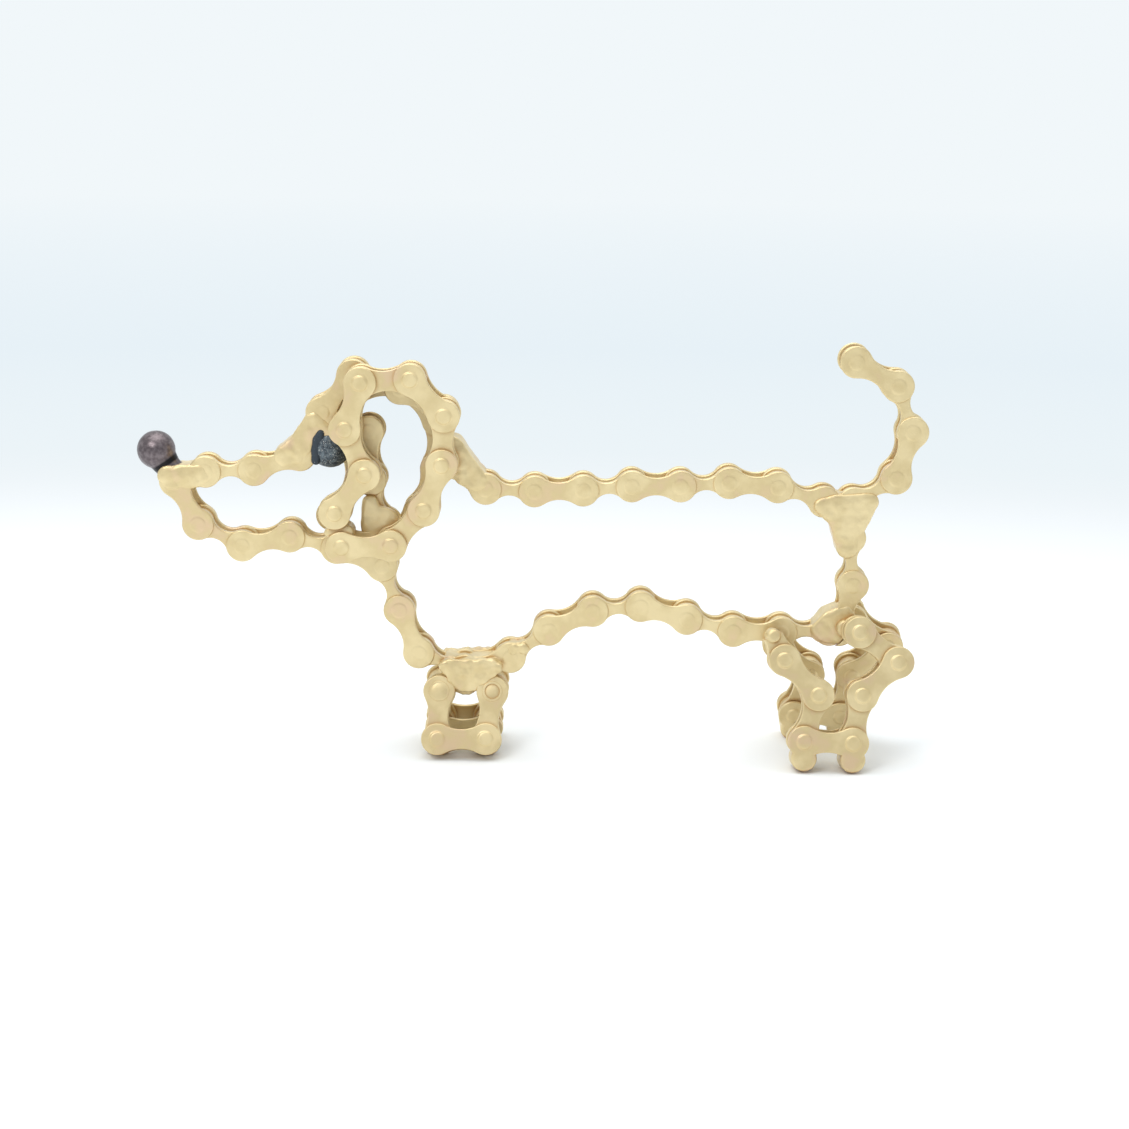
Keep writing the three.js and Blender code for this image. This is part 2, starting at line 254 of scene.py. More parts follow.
def add_sky():
    """Bright all round, but for the room behind the photographer, towards -Y."""
    world = bpy.data.worlds.new("tent")
    world.use_nodes = True
    tree = world.node_tree
    sky = tree.nodes["Background"]
    direction = add_node(tree, "ShaderNodeTexCoord").outputs["Generated"]
    parts = add_node(tree, "ShaderNodeSeparateXYZ", {"Vector": direction})
    turned_away = spread(tree, parts.outputs["Y"], *ROOM_EDGES)
    colour = ramp(tree, turned_away, [(0.0, SKY_ROOM), (1.0, SKY_BRIGHT)])
    tree.links.new(colour, sky.inputs["Color"])
    sky.inputs["Strength"].default_value = 1.0
    bpy.context.scene.world = world
    bpy.context.scene.view_settings.view_transform = "Standard"


def floor_paper():
    """White paper near the dog, which fades into an evenly glowing backdrop further off."""
    material, tree, paper = new_material("floor_paper")
    place = add_node(tree, "ShaderNodeNewGeometry").outputs["Position"]
    from_middle = add_node(tree, "ShaderNodeVectorMath", {0: place}, operation="DISTANCE")
    from_middle.inputs[1].default_value = FADE_MIDDLE
    away = add_node(tree, "ShaderNodeMath", {0: from_middle.outputs["Value"]}, operation="SUBTRACT")
    away.inputs[1].default_value = FADE_BEFORE
    away = away.outputs["Value"]
    paper.inputs["Base Color"].default_value = (*FLOOR_WHITE, 1)
    paper.inputs["Roughness"].default_value = 0.9
    paper.inputs["Specular IOR Level"].default_value = 0.1
    reach = FAR_COLOURS[-1][0]
    share = spread(tree, away, 0.0, reach)
    colour = ramp(tree, share, [(distance / reach, tint) for distance, tint in FAR_COLOURS])
    glow = add_node(tree, "ShaderNodeEmission", {"Color": colour}, Strength=1.0)
    fade = spread(tree, away, FADE_START, FADE_END, curve="SMOOTHSTEP")
    mix = add_node(tree, "ShaderNodeMixShader", {"Fac": fade})
    tree.links.new(paper.outputs["BSDF"], mix.inputs[1])
    tree.links.new(glow.outputs["Emission"], mix.inputs[2])
    tree.links.new(mix.outputs["Shader"], tree.nodes["Material Output"].inputs["Surface"])
    return material


def add_floor():
    half = FLOOR_SIDE / 2
    mesh = bpy.data.meshes.new("floor")
    corners = [(-half, -half), (half, -half), (half, half), (-half, half)]
    mesh.from_pydata([(x, y, -FLOOR_DROP) for x, y in corners], [], [(0, 1, 2, 3)])
    floor = bpy.data.objects.new("floor", mesh)
    bpy.context.scene.collection.objects.link(floor)
    mesh.materials.append(floor_paper())


def add_lamp(name, place, size, watts):
    lamp = bpy.data.objects.new(name, bpy.data.lights.new(name, "AREA"))
    lamp.data.size = size
    lamp.data.energy = watts
    lamp.location = place
    towards = Vector((FIGURE_X, 0, AIM_HEIGHT)) - Vector(place)
    lamp.rotation_euler = towards.to_track_quat("-Z", "Y").to_euler()
    bpy.context.scene.collection.objects.link(lamp)


add_sky()
add_floor()
add_lamp("tent_roof", (-40 * MM, 40 * MM, 700 * MM), 620 * MM, 2.6)
add_lamp("tent_front", (-300 * MM, -520 * MM, 560 * MM), 260 * MM, 1.6)

# %% [markdown]
# The paint is a satin gold from a spray can: metal flakes under a thin clear skin, so it shines like metal
# but softly. Its skin is a little uneven, like the peel of an orange, and its corners get a browner painted
# shade. One material does it all: slow noise shifts the colour and the gloss, fine noise gives the skin, and
# the painted shade of a corner comes from how much of the surroundings a point can see.

# %% Gold spray paint, with painted shade in its corners
GOLD_LIGHT = (0.775, 0.632, 0.352)
GOLD_DEEP = (0.675, 0.535, 0.277)
GOLD_STAIN = (0.70, 0.52, 0.31)
# Painted shade: the browner colour that corners get where they see less of their surroundings.
GOLD_PAINTED_SHADE = (0.58, 0.33, 0.12)
GOLD_METALLIC = 0.64
GOLD_ROUGHNESS = (0.36, 0.52)
PAINTED_SHADE_REACH = 1.4 * MM
PAINTED_SHADE_EDGES = (0.25, 0.88)
COAT = 0.3
COAT_ROUGHNESS = 0.22
CLOUD_SIZE = 7 * MM
PEEL_SIZE = 0.35 * MM
PEEL_DEPTH = 0.018 * MM


def noise_at(tree, size, detail=2.0):
    place = add_node(tree, "ShaderNodeTexCoord").outputs["Object"]
    grain = add_node(tree, "ShaderNodeTexNoise", {"Vector": place}, Scale=1 / size, Detail=detail)
    return grain.outputs["Fac"]


def add_bump(tree, shader, height, depth):
    bump = add_node(tree, "ShaderNodeBump", {"Height": height}, Distance=depth, Strength=1.0)
    tree.links.new(bump.outputs["Normal"], shader.inputs["Normal"])


def mixed(tree, share, first, second):
    """A colour that goes from first to second as share goes from 0 to 1; either may be a socket."""
    mix = add_node(tree, "ShaderNodeMix", data_type="RGBA")
    tree.links.new(share, mix.inputs["Factor"])
    for place, colour in ((6, first), (7, second)):
        if isinstance(colour, tuple):
            mix.inputs[place].default_value = (*colour, 1)
        else:
            tree.links.new(colour, mix.inputs[place])
    return mix.outputs[2]


def gold_paint():
    material, tree, shader = new_material("gold_paint_and_painted_shade_skin")
    clouds = noise_at(tree, CLOUD_SIZE, detail=4.0)
    gold = ramp(tree, clouds, [(0.30, GOLD_STAIN), (0.44, GOLD_DEEP), (0.62, GOLD_LIGHT)])
    # Painted shade: ambient occlusion mixes corners towards a browner colour, standing in for the shade that
    # falls there.
    seen = add_node(tree, "ShaderNodeAmbientOcclusion", Distance=PAINTED_SHADE_REACH, samples=6).outputs["AO"]
    corner = spread(tree, seen, *PAINTED_SHADE_EDGES)
    tree.links.new(mixed(tree, corner, GOLD_PAINTED_SHADE, gold), shader.inputs["Base Color"])
    gloss = spread(tree, clouds, 0.0, 1.0, *GOLD_ROUGHNESS)
    tree.links.new(gloss, shader.inputs["Roughness"])
    shader.inputs["Metallic"].default_value = GOLD_METALLIC
    shader.inputs["Coat Weight"].default_value = COAT
    shader.inputs["Coat Roughness"].default_value = COAT_ROUGHNESS
    add_bump(tree, shader, noise_at(tree, PEEL_SIZE, detail=3.0), PEEL_DEPTH)
    return material


GOLD = gold_paint()
print("nodes in the gold paint:", len(GOLD.node_tree.nodes))

# %% [markdown]
# The two balls come from a bearing. Welding has burnt them: the nose is a mottled, pinkish grey with a
# near-black painted shade in the crease where its neck begins, and the eye is blued and rough, with a few
# pale specks of paint that drifted onto it. The distance from the middle of the nose tells the shader where
# the crease and its painted shade are.

# %% Burnt steel, and a painted shade in the nose's crease
NOSE_DARK = (0.12, 0.095, 0.10)
NOSE_PALE = (0.22, 0.182, 0.187)
NOSE_METALLIC = 0.75
NOSE_ROUGHNESS = (0.26, 0.40)
EYE_DARK = (0.035, 0.047, 0.06)
EYE_PALE = (0.15, 0.185, 0.205)
EYE_METALLIC = 0.35
EYE_ROUGHNESS = 0.55
PAINT_SPECK = (0.62, 0.62, 0.58)
SPECK_EDGE = 0.05
# Painted shade: the near-black colour painted into the crease between the nose's ball and neck.
CREASE_SHADE = (0.012, 0.011, 0.012)
MOTTLE_SIZE = 1.0 * MM
GRAIN_SIZE = 0.8 * MM
GRAIN_DEPTH = 0.07 * MM
CREASE_REACH = 7 * MM
CREASE_STOPS = [(4.95 * MM, 0.0), (5.25 * MM, 1.0), (5.85 * MM, 1.0), (6.15 * MM, 0.25)]


def nose_steel(ball_middle):
    material, tree, shader = new_material("nose_steel_skin")
    mottle = noise_at(tree, MOTTLE_SIZE, detail=5.0)
    metal = ramp(tree, mottle, [(0.38, NOSE_DARK), (0.66, NOSE_PALE)])
    place = add_node(tree, "ShaderNodeNewGeometry").outputs["Position"]
    reach = add_node(tree, "ShaderNodeVectorMath", {0: place}, operation="DISTANCE")
    reach.inputs[1].default_value = ball_middle
    share = spread(tree, reach.outputs["Value"], 0.0, CREASE_REACH)
    stops = [(distance / CREASE_REACH, (grey, grey, grey)) for distance, grey in CREASE_STOPS]
    crease = ramp(tree, share, stops)
    # Painted shade: the crease between ball and neck is painted near-black, where shade falls.
    tree.links.new(mixed(tree, crease, metal, CREASE_SHADE), shader.inputs["Base Color"])
    gloss = spread(tree, mottle, 0.0, 1.0, *NOSE_ROUGHNESS)
    tree.links.new(gloss, shader.inputs["Roughness"])
    shader.inputs["Metallic"].default_value = NOSE_METALLIC
    add_bump(tree, shader, noise_at(tree, GRAIN_SIZE, detail=4.0), 0.5 * GRAIN_DEPTH)
    return material


def eye_steel(name, pale, specks):
    """Rough, blued steel; the lower specks is, the more paint has drifted onto it."""
    material, tree, shader = new_material(name)
    grain = noise_at(tree, GRAIN_SIZE, detail=5.0)
    metal = ramp(tree, grain, [(0.40, EYE_DARK), (0.68, pale)])
    fine = noise_at(tree, 0.4 * GRAIN_SIZE, detail=1.0)
    speck = spread(tree, fine, specks, specks + SPECK_EDGE)
    tree.links.new(mixed(tree, speck, metal, PAINT_SPECK), shader.inputs["Base Color"])
    shader.inputs["Metallic"].default_value = EYE_METALLIC
    shader.inputs["Roughness"].default_value = EYE_ROUGHNESS
    add_bump(tree, shader, grain, GRAIN_DEPTH)
    return material


print("the nose's crease in mm from its middle:", [round(distance / MM, 2) for distance, _ in CREASE_STOPS])

# %% [markdown]
# A shape that is the same all the way through, such as a plate, or the same all the way round, such as a
# pin, can be made from rings of points: each ring is joined to the next by a strip of four-sided faces,
# and the first and last are closed. The rings are pulled in a little near the ends, which rounds the
# edges. Real pressed plates have such edges, and the light that runs along them is what makes steel look
# like steel.

# %% Rings into closed shells
def shell_of(rings, closed=False):
    """Vertices and faces of rings that follow one another; closed joins the last ring to the first."""
    count = len(rings[0])
    vertices = [point for ring in rings for point in ring]
    faces = []
    pairs = list(zip(range(len(rings)), range(1, len(rings))))
    if closed:
        pairs.append((len(rings) - 1, 0))
    else:
        faces.append(tuple(range(count)))
        faces.append(tuple(reversed(range(count * (len(rings) - 1), count * len(rings)))))
    for a, b in pairs:
        for i in range(count):
            j = (i + 1) % count
            faces.append((a * count + i, b * count + i, b * count + j, a * count + j))
    return vertices, faces


def joined(shells):
    """Shells that don't touch each other, as one."""
    vertices, faces = [], []
    for more_vertices, more_faces in shells:
        shift = len(vertices)
        vertices += more_vertices
        faces += [tuple(i + shift for i in face) for face in more_faces]
    return vertices, faces


def rounded_steps(edge, steps=3):
    """How far in, and how far from the end, each ring of a rounded edge lies."""
    turns = [pi / 2 * i / steps for i in range(steps + 1)]
    return [(edge * (1 - sin(turn)), edge * (1 - cos(turn))) for turn in turns]


print("insets of a plate's edge in mm:", [round(inset / MM, 2) for inset, _ in rounded_steps(PLATE_EDGE)])

# %% A plate: two round ends and a drawn-in waist
END_STEPS = 22
WAIST_STEPS = 9


def plate_outline(waist, inset=0.0, grow=0.0):
    """Outline points from one pin at zero to the next at +X; each side of the waist is an arc."""
    end = PLATE_RADIUS + grow
    half = PITCH / 2
    waist = waist + grow
    hollow = (half**2 + waist**2 - end**2) / (2 * (end - waist))
    meet = atan2(waist + hollow, half)
    points = []
    for sign, x in ((-1, 0.0), (1, PITCH)):
        first_turn = meet if sign < 0 else meet - pi
        for i in range(END_STEPS + 1):
            turn = first_turn + 2 * (pi - meet) * i / END_STEPS
            points.append((x + (end - inset) * cos(turn), (end - inset) * sin(turn)))
        for i in range(1, WAIST_STEPS):
            swing = (pi / 2 - meet) * (1 - 2 * i / WAIST_STEPS)
            reach = hollow + inset
            points.append((half + sign * reach * sin(swing), sign * (waist + hollow - reach * cos(swing))))
    return points


def set_at(outline, y, pin, heading):
    """A flat outline turned to a link's heading, with its first pin's middle at pin."""
    c, s = cos(radians(heading)), sin(radians(heading))
    return [(pin.x + x * c - z * s, y, pin.y + x * s + z * c) for x, z in outline]


def plate(waist, low, high, pin, heading, edge=PLATE_EDGE):
    steps = rounded_steps(edge)
    places = [(inset, low + along) for inset, along in steps]
    places += [(inset, high - along) for inset, along in reversed(steps)]
    return shell_of([set_at(plate_outline(waist, inset), y, pin, heading) for inset, y in places])


def plate_pair(waist, low, high, pin, heading, edge=PLATE_EDGE):
    return [plate(waist, low, high, pin, heading, edge), plate(waist, -high, -low, pin, heading, edge)]


def slab(outline, low, high, pin, heading):
    """A flat outline made as thick as from low to high, with square edges, for cutting."""
    return shell_of([set_at(outline, y, pin, heading) for y in (low, high)])


print("points round a plate:", len(plate_outline(BODY_WAISTS["outer"])))

# %% Turned pieces: pins, bushes, rollers and drops of weld
TURNED_SIDES = 28
DOME_HEIGHT = 0.55 * MM
DOME_TURNS = (0.2, 0.5, 0.8, 1.1, 1.35, pi / 2)


def turned(profile, pin, closed=False):
    """A profile of (radius, y) spun round the line through a pin."""
    rings = []
    for radius, y in profile:
        turns = [2 * pi * i / TURNED_SIDES for i in range(TURNED_SIDES)]
        rings.append([(pin.x + radius * cos(t), y, pin.y + radius * sin(t)) for t in turns])
    return shell_of(rings, closed)


def mirrored_profile(half_profile):
    """A profile given from its +Y end to the middle, made whole."""
    mirrored = [(radius, -y) for radius, y in half_profile]
    return mirrored + list(reversed(half_profile))


def pin_shell(pin, rise):
    """A pin whose domed heads stand proud of the outer plates, with paint run into the corner round each."""
    face = CHAIN_HALF
    head = [
        (0.40 * PIN_RADIUS, face + 0.90 * rise),
        (0.72 * PIN_RADIUS, face + rise),
        (0.88 * PIN_RADIUS, face + 0.92 * rise),
        (0.97 * PIN_RADIUS, face + 0.72 * rise),
        (1.02 * PIN_RADIUS, face + 0.45 * rise),
        (PIN_RADIUS + 0.25 * PAINT_FLARE, face + 0.20 * rise),
        (PIN_RADIUS + 0.60 * PAINT_FLARE, face + 0.07 * rise),
        (PIN_RADIUS + PAINT_FLARE, face - 0.02 * rise - 0.01 * MM),
        (PIN_RADIUS, face - 0.4 * PLATE_THICKNESS),
    ]
    return turned(mirrored_profile(head), pin)


def round_bar(radius, half, edge, pin):
    steps = [(radius - inset, half - along) for inset, along in rounded_steps(edge)]
    return turned(mirrored_profile(steps), pin)


def drop_at(spot, radius, low, high):
    """One drop of weld: a round bar along Y with a low dome at each end."""
    half = (high - low) / 2
    dome = [(radius * sin(turn), half - DOME_HEIGHT * (1 - cos(turn))) for turn in DOME_TURNS]
    points, faces = turned(mirrored_profile(dome), spot)
    return [(x, y + (low + high) / 2, z) for x, y, z in points], faces


def plain_bar(radius, half, pin):
    return turned([(radius, -half), (radius, half)], pin)


print("faces of a pin:", len(pin_shell(Vector((0, 0)), LIMB_PIN_RISE)[1]))

# %% [markdown]
# The shells of a length overlap: a pin runs through its plates, and a roller sits between them. Welded and
# painted, the real length is one skin, so the shells are merged into one closed mesh, and where another
# length is welded against it, that one's outline is cut away first. Blender's boolean modifier does both.
# Its result is kept as a mesh at once, so nothing has to be worked out again later.

# %% Meshes that are merged and cut
SHARP_ANGLE = radians(42)


def mesh_object(name, shell):
    mesh = bpy.data.meshes.new(name)
    mesh.from_pydata(shell[0], [], shell[1])
    made = bpy.data.objects.new(name, mesh)
    bpy.context.scene.collection.objects.link(made)
    return made


def keep_result(made):
    """The mesh that the modifiers make takes the place of the object's own."""
    graph = bpy.context.evaluated_depsgraph_get()
    result = bpy.data.meshes.new_from_object(made.evaluated_get(graph))
    made.modifiers.clear()
    made.data = result


def combine(made, tool_shell, operation, matrix=None):
    tool = mesh_object("tool", tool_shell)
    if matrix:
        tool.data.transform(matrix)
    step = made.modifiers.new("merge", "BOOLEAN")
    step.solver = "MANIFOLD"
    step.operation = operation
    step.object = tool
    keep_result(made)
    bpy.data.objects.remove(tool)


def keep_largest(made):
    """Drops the offcuts that lie beyond a cut."""
    work = bmesh.new()
    work.from_mesh(made.data)
    left = set(work.faces)
    islands = []
    while left:
        island, edge_of_it = set(), [left.pop()]
        while edge_of_it:
            face = edge_of_it.pop()
            island.add(face)
            near = {other for edge in face.edges for other in edge.link_faces} & left
            left -= near
            edge_of_it += near
        islands.append(island)
    islands.sort(key=lambda faces: sum(face.calc_area() for face in faces))
    for island in islands[:-1]:
        bmesh.ops.delete(work, geom=list(island), context="FACES")
    work.to_mesh(made.data)
    work.free()


def finish_piece(made, material, body="root", stands_for=()):
    """Smooth skin, paint, and the body that it rides on."""
    made.data.materials.clear()
    made.data.materials.append(material)
    for face in made.data.polygons:
        face.use_smooth = True
    made.data.set_sharp_from_angle(angle=SHARP_ANGLE)
    even = made.modifiers.new("even_shading", "WEIGHTED_NORMAL")
    even.keep_sharp = True
    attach(made, body)
    if stands_for:
        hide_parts(*stands_for)


print("an edge stays sharp from this angle in radians:", round(SHARP_ANGLE, 3))

# %% [markdown]
# A link is a pair of plates: the outer ones are pressed on two pins, the inner ones on two bushes, and a
# roller runs on each bush. Along a length they take turns. In the body the paint has filled every joint,
# so a length is one stiff piece: the step from an outer plate down to an inner one is almost level, the
# edges are soft, and the pin ends are just faint rings.

# %% A length of set chain
def link_plates(waists, run, link, pins):
    heading = RUNS[run]["headings"][link]
    filled = waists is BODY_WAISTS
    edge = BODY_EDGE if filled else PLATE_EDGE
    if kind(run, link) == "outer":
        return plate_pair(waists["outer"], OUTER_FACE, CHAIN_HALF, pins[link], heading, edge)
    back = CHAIN_HALF - BODY_STEP if filled else INNER_BACK
    return plate_pair(waists["inner"], INNER_FACE, back, pins[link], heading, edge)


def joint_shells(run, first, last, pins, ends, rise):
    """What stands at each pin of a length: the pin itself or a bush end, and the roller."""
    shells = {"pins": [], "rollers": [], "bores": []}
    for place in range(first, last + 2):
        end = ends[0] if place == first else ends[1] if place == last + 1 else "joined"
        links = [link for link in (place - 1, place) if first <= link <= last]
        if end != "bored" and any(kind(run, link) == "outer" for link in links):
            shells["pins"].append(pin_shell(pins[place], rise))
        if end != "pin":
            inner_only = all(kind(run, link) == "inner" for link in links)
            reach = INNER_BACK if inner_only else INNER_FACE + PRESS_DEPTH
            shells["rollers"].append(plain_bar(SET_ROLLER_RADIUS, INNER_FACE + PRESS_DEPTH, pins[place]))
            if inner_only:
                shells["pins"].append(round_bar(BUSH_RADIUS, reach + 0.3 * rise, PLATE_EDGE / 2, pins[place]))
        if end == "bored":
            shells["bores"].append(plain_bar(PIN_RADIUS + PIN_CLEARANCE, 2 * CHAIN_HALF, pins[place]))
    return shells


def chain_length(name, run, first, last, waists, ends, rise, pins=None):
    pins = pins or PINS[run]
    plates = [shell for link in range(first, last + 1) for shell in link_plates(waists, run, link, pins)]
    made = mesh_object(name, joined(plates))
    shells = joint_shells(run, first, last, pins, ends, rise)
    for key, operation in (("rollers", "UNION"), ("pins", "UNION"), ("bores", "DIFFERENCE")):
        if shells[key]:
            combine(made, joined(shells[key]), operation)
    return made


def room(run, link, waists=BODY_WAISTS, middle_y=0.0):
    """The space that one link takes, for cutting what is welded against it."""
    outline = plate_outline(waists[kind(run, link)], grow=WELD_GAP)
    half = CHAIN_HALF + WELD_GAP
    return slab(outline, middle_y - half, middle_y + half, PINS[run][link], RUNS[run]["headings"][link])


print("links in each run:", {name: len(run["headings"]) for name, run in RUNS.items()})

# %% The body, head and tail
BODY_LENGTHS = {
    "snout_chain": ("snout", 0, 3, ("bored", "cut"), [("underline", 15), ("underline", 14)]),
    "crown_chain": ("crown", 0, 3, ("bored", "pin"), []),
    "back_front_chain": ("back", 0, 3, ("pin", "bored"), []),
    "back_rear_chain": ("back", 4, 7, ("pin", "cut"), [("tail", 0)]),
    "tail_chain": ("tail", 0, 3, ("free", "free"), []),
    "rump_chain": ("rump", 0, 2, ("cut", "cut"), [("tail", 0), ("underline", 0)]),
    "belly_rear_chain": ("underline", 0, 2, ("free", "bored"), []),
    "belly_front_chain": ("underline", 3, 5, ("pin", "pin"), []),
    "chest_chain": ("underline", 6, 8, ("bored", "bored"), []),
    "throat_chain": ("underline", 9, 11, ("pin", "pin"), []),
    "jaw_chain": ("underline", 12, 15, ("bored", "free"), []),
    "inner_head_chain": (
        "inner_head", 0, 2, ("free", "cut"), [("underline", 10), ("underline", 11), ("underline", 9)]
    ),
}
for node, (run, first, last, ends, welded_to) in BODY_LENGTHS.items():
    made = chain_length(node + "_painted", run, first, last, BODY_WAISTS, ends, BODY_PIN_RISE)
    for other_run, link in welded_to:
        combine(made, room(other_run, link), "DIFFERENCE")
        keep_largest(made)
    finish_piece(made, GOLD, stands_for=[node])
    print(node, "faces:", len(made.data.polygons))

# %% [markdown]
# The ears are the one place where the chain is still loose. Each ear is a loop of nine links that doesn't
# quite close, and each link and roller is a piece by itself. The rollers turn, so each rides on its own
# body. Both ears are the same walk, one on each side of the head, with the right one a little further
# forward and lower.

# %% The ears
EAR_MIDDLE = middle("left_ear_outer_link_1").y
RIGHT_EAR_SHIFT = middle("right_ear_roller_1") - middle("left_ear_roller_1")


def outer_link(name, link):
    made = mesh_object(name, joined(link_plates(LIMB_WAISTS, "ear", link, PINS["ear"])))
    combine(made, joined([pin_shell(PINS["ear"][i], LIMB_PIN_RISE) for i in (link, link + 1)]), "UNION")
    return made


def inner_link(name, link):
    made = mesh_object(name, joined(link_plates(LIMB_WAISTS, "ear", link, PINS["ear"])))
    both = PINS["ear"][link:link + 2]
    combine(made, joined([plain_bar(BUSH_RADIUS, INNER_FACE + PRESS_DEPTH, pin) for pin in both]), "UNION")
    bore = PIN_RADIUS + PIN_CLEARANCE
    combine(made, joined([plain_bar(bore, 2 * CHAIN_HALF, pin) for pin in both]), "DIFFERENCE")
    return made


def ear_roller(name, pin):
    half = INNER_FACE - ROLLER_SIDE_CLEARANCE
    bore = BUSH_RADIUS + ROLLER_CLEARANCE
    outside = [(ROLLER_RADIUS - inset, along - half) for inset, along in rounded_steps(PLATE_EDGE)]
    outside += [(radius, -y) for radius, y in reversed(outside)]
    profile = [(bore, -half)] + outside + [(bore, half)]
    return mesh_object(name, turned(profile, pin, closed=True))


for prefix, shift in (("left_ear_", Vector()), ("right_ear_", RIGHT_EAR_SHIFT)):
    place = Matrix.Translation(shift + Vector((0, EAR_MIDDLE, 0)))
    count = {"outer": 0, "inner": 0}
    for link in range(len(RUNS["ear"]["headings"])):
        which = kind("ear", link)
        count[which] += 1
        node = f"{prefix}{which}_link_{count[which]}"
        made = (outer_link if which == "outer" else inner_link)(node + "_painted", link)
        made.data.transform(place)
        finish_piece(made, GOLD, stands_for=[node])
    for i, pin in enumerate(PINS["ear"][1:-1], 1):
        node = f"{prefix}roller_{i}"
        made = ear_roller(node + "_painted", pin)
        made.data.transform(place)
        finish_piece(made, GOLD, body=node, stands_for=[node])

# %% [markdown]
# A leg is the same chain set in a flat plane of its own, and the plane leans so that the foot stands
# outwards. The leg is made upright, then turned and moved like the solid one, and what would go below the
# floor is cut off flat. The right legs are made the same way and then mirrored. Only the cut ends under
# the belly differ.

# %% The legs
LEG_TOUCH = 0.3 * MM
FRONT_LEG_GAP = 1.5 * MM
FRONT_LEAN = radians(19)
HIND_LEAN = radians(11)
PAD_RADIUS = 3.4 * MM
PAD_DROP = 4.4 * MM
PAD_EDGE = 0.9 * MM
STUBS = {"left": 0.46 * PITCH, "right": 0.66 * PITCH}
STUB_LUMP = 2.0 * MM
BUSH_FILL = 2.9 * MM
BUSH_DENTS = (-0.3 * MM, 0.15 * MM)


def leg_place(top_pin, lean, offset):
    """Where a left leg's own upright plane lies in the figure."""
    aside = -(offset + top_pin.y * sin(lean))
    return Matrix.Translation((FIGURE_X, aside, 0)) @ Matrix.Rotation(-lean, 4, "X")


def box_shell(low, high):
    corners = [(low[0], low[2]), (high[0], low[2]), (high[0], high[2]), (low[0], high[2])]
    return shell_of([[(x, y, z) for x, z in corners] for y in (low[1], high[1])])


def cut_floor(made):
    side = 20 * PITCH
    combine(made, box_shell((-side, -side, -PITCH), (side, side, 0)), "DIFFERENCE")


def end_discs(pin):
    """What is left of a pair of outer plates that were cut off round just past their pin."""
    disc = round_bar(PLATE_RADIUS, PLATE_THICKNESS / 2, PLATE_EDGE, pin)
    middle_y = (OUTER_FACE + CHAIN_HALF) / 2
    return [([(x, y + shift, z) for x, y, z in disc[0]], disc[1]) for shift in (-middle_y, middle_y)]


def cut_stub(made, pin, heading, stub):
    """Cuts a link off short, from one of its pins."""
    reach = 1.5 * PLATE_RADIUS
    square = [(-reach, -reach), (stub, -reach), (stub, reach), (-reach, reach)]
    combine(made, slab(square, -2 * CHAIN_HALF, 2 * CHAIN_HALF, pin, heading), "DIFFERENCE")


def mirror_to_right(made):
    made.data.transform(Matrix.Scale(-1, 4, (0, 1, 0)))
    made.data.flip_normals()


# %% Front legs: a U of three links, whose top bushes the paint has closed, one of them not quite
def front_leg(name):
    offset = INNER_BACK * cos(FRONT_LEAN) + PLATE_RADIUS * sin(FRONT_LEAN) + FRONT_LEG_GAP / 2
    place = leg_place(PINS["front_leg"][-1], FRONT_LEAN, offset)
    made = chain_length(name, "front_leg", 0, 2, LIMB_WAISTS, ("bored", "bored"), LIMB_PIN_RISE)
    tops = (PINS["front_leg"][0], PINS["front_leg"][-1])
    halves = [INNER_BACK - dent for dent in BUSH_DENTS]
    fills = [drop_at(top, BUSH_FILL, -half, half) for top, half in zip(tops, halves)]
    combine(made, joined(fills), "UNION")
    made.data.transform(place)
    cut_floor(made)
    for link in (6, 7, 8):
        combine(made, room("underline", link), "DIFFERENCE")
        keep_largest(made)
    return made


for side in ("left", "right"):
    leg = front_leg(f"{side}_front_leg_painted")
    if side == "right":
        mirror_to_right(leg)
    finish_piece(leg, GOLD, stands_for=[f"{side}_front_leg"])
    print(leg.name, "faces:", len(leg.data.polygons))

# %% Hind legs: a V of eight links on a foot with two pads
def hind_leg(side):
    offset = CHAIN_HALF + LEG_TOUCH + CHAIN_HALF * cos(HIND_LEAN) + PLATE_RADIUS * sin(HIND_LEAN)
    pins = PINS["hind_leg"]
    headings = RUNS["hind_leg"]["headings"]
    place = leg_place(pins[-2], HIND_LEAN, offset)
    front_name = f"{side}_hind_leg_front_painted"
    rear_name = f"{side}_hind_leg_rear_painted"
    front = chain_length(front_name, "hind_leg", 0, 3, LIMB_WAISTS, ("cut", "pin"), LIMB_PIN_RISE)
    rear = chain_length(rear_name, "hind_leg", 4, 6, LIMB_WAISTS, ("bored", "pin"), LIMB_PIN_RISE)
    stub = STUBS[side]
    cut_stub(front, pins[0], headings[0], stub)
    if side == "left":
        stub_end = pins[0].lerp(pins[1], stub / PITCH)
        lump = round_bar(STUB_LUMP, CHAIN_HALF - PLATE_EDGE, 0.6 * STUB_LUMP, stub_end)
        combine(front, lump, "UNION")
    combine(rear, joined(end_discs(pins[7])), "UNION")
    combine(rear, pin_shell(pins[7], LIMB_PIN_RISE), "UNION")
    pads = [round_bar(PAD_RADIUS, CHAIN_HALF, PAD_EDGE, pin - Vector((0, PAD_DROP))) for pin in pins[3:5]]
    combine(front, joined(pads), "UNION")
    bush_half = INNER_BACK + SIDE_CLEARANCE
    outline = plate_outline(LIMB_WAISTS["inner"], grow=WELD_GAP)
    combine(front, slab(outline, -bush_half, bush_half, pins[4], headings[4]), "DIFFERENCE")
    keep_largest(front)
    for made in (front, rear):
        made.data.transform(place)
    cut_floor(front)
    return front, rear


for side in ("left", "right"):
    for made, half in zip(hind_leg(side), ("front", "rear")):
        if side == "right":
            mirror_to_right(made)
        finish_piece(made, GOLD, stands_for=[f"{side}_hind_leg_{half}"])

